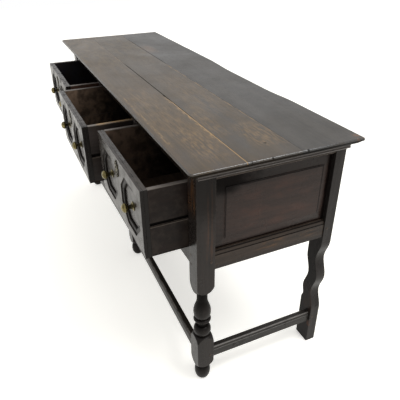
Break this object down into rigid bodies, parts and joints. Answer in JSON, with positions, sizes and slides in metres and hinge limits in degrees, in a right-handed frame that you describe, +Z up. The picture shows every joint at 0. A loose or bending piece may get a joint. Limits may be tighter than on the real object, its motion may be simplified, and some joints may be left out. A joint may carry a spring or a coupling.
{
  "type": "dresser base",
  "caption": "Joined oak dresser base with panelled side-hung drawers standing part open, turned front legs, waved flat rear legs, low stretchers and a boarded top.",
  "frame": {"origin": "on the floor, under the middle of the bounding box with the drawers part open as stored", "axes": "+X along the length of the top towards the right-hand end, +Y towards the back, so the drawers open along -Y, +Z up"},
  "size_m": [1.715, 0.683, 0.84],
  "materials": {
    "top_oak": "dark waxed oak, worn, satin",
    "frame_oak": "dark waxed oak, satin",
    "panel_oak": "dark waxed oak, satin",
    "lining_oak": "dark dry oak, matt",
    "aged_brass": "aged, unpolished"
  },
  "bodies": {
    "carcass": {"top_board_front": "top_oak", "top_board_middle": "top_oak", "top_board_rear": "top_oak", "end_moulding_right": "frame_oak", "end_moulding_left": "frame_oak", "front_leg_right": "frame_oak", "front_leg_left": "frame_oak", "front_leg_centre": "frame_oak", "rear_leg_right": "frame_oak", "rear_leg_left": "frame_oak", "front_top_rail": "frame_oak", "front_bottom_rail": "frame_oak", "drawer_divider_right": "frame_oak", "drawer_divider_left": "frame_oak", "side_top_rail_right": "frame_oak", "side_top_rail_left": "frame_oak", "side_bottom_rail_right": "frame_oak", "side_bottom_rail_left": "frame_oak", "side_panel_right": "panel_oak", "side_panel_left": "panel_oak", "back_bottom_rail": "frame_oak", "back_board": "panel_oak", "front_stretcher_right": "frame_oak", "front_stretcher_left": "frame_oak", "side_stretcher_right": "frame_oak", "side_stretcher_left": "frame_oak", "drawer_runner_end_right": "lining_oak", "drawer_runner_end_left": "lining_oak", "drawer_runner_divider_right": "lining_oak", "drawer_runner_divider_left": "lining_oak"},
    "drawer_left": {"drawer_left_front": "frame_oak", "drawer_left_side_right": "lining_oak", "drawer_left_side_left": "lining_oak", "drawer_left_back": "lining_oak", "drawer_left_bottom": "lining_oak", "drawer_left_field_right": "frame_oak", "drawer_left_field_left": "frame_oak", "drawer_left_knob_right": "aged_brass", "drawer_left_knob_left": "aged_brass", "drawer_left_escutcheon": "aged_brass"},
    "drawer_middle": {"drawer_middle_front": "frame_oak", "drawer_middle_side_right": "lining_oak", "drawer_middle_side_left": "lining_oak", "drawer_middle_back": "lining_oak", "drawer_middle_bottom": "lining_oak", "drawer_middle_field_right": "frame_oak", "drawer_middle_field_left": "frame_oak", "drawer_middle_knob_right": "aged_brass", "drawer_middle_knob_left": "aged_brass", "drawer_middle_escutcheon": "aged_brass"},
    "drawer_right": {"drawer_right_front": "frame_oak", "drawer_right_side_right": "lining_oak", "drawer_right_side_left": "lining_oak", "drawer_right_back": "lining_oak", "drawer_right_bottom": "lining_oak", "drawer_right_field_right": "frame_oak", "drawer_right_field_left": "frame_oak", "drawer_right_knob_right": "aged_brass", "drawer_right_knob_left": "aged_brass", "drawer_right_escutcheon": "aged_brass"}
  },
  "joints": [
    {"name": "drawer_left_slide", "type": "slide", "parent": "carcass", "child": "drawer_left", "axis": [0, -1, 0], "range_m": [-0.139, 0.171]},
    {"name": "drawer_middle_slide", "type": "slide", "parent": "carcass", "child": "drawer_middle", "axis": [0, -1, 0], "range_m": [-0.176, 0.134]},
    {"name": "drawer_right_slide", "type": "slide", "parent": "carcass", "child": "drawer_right", "axis": [0, -1, 0], "range_m": [-0.133, 0.177]}
  ]
}
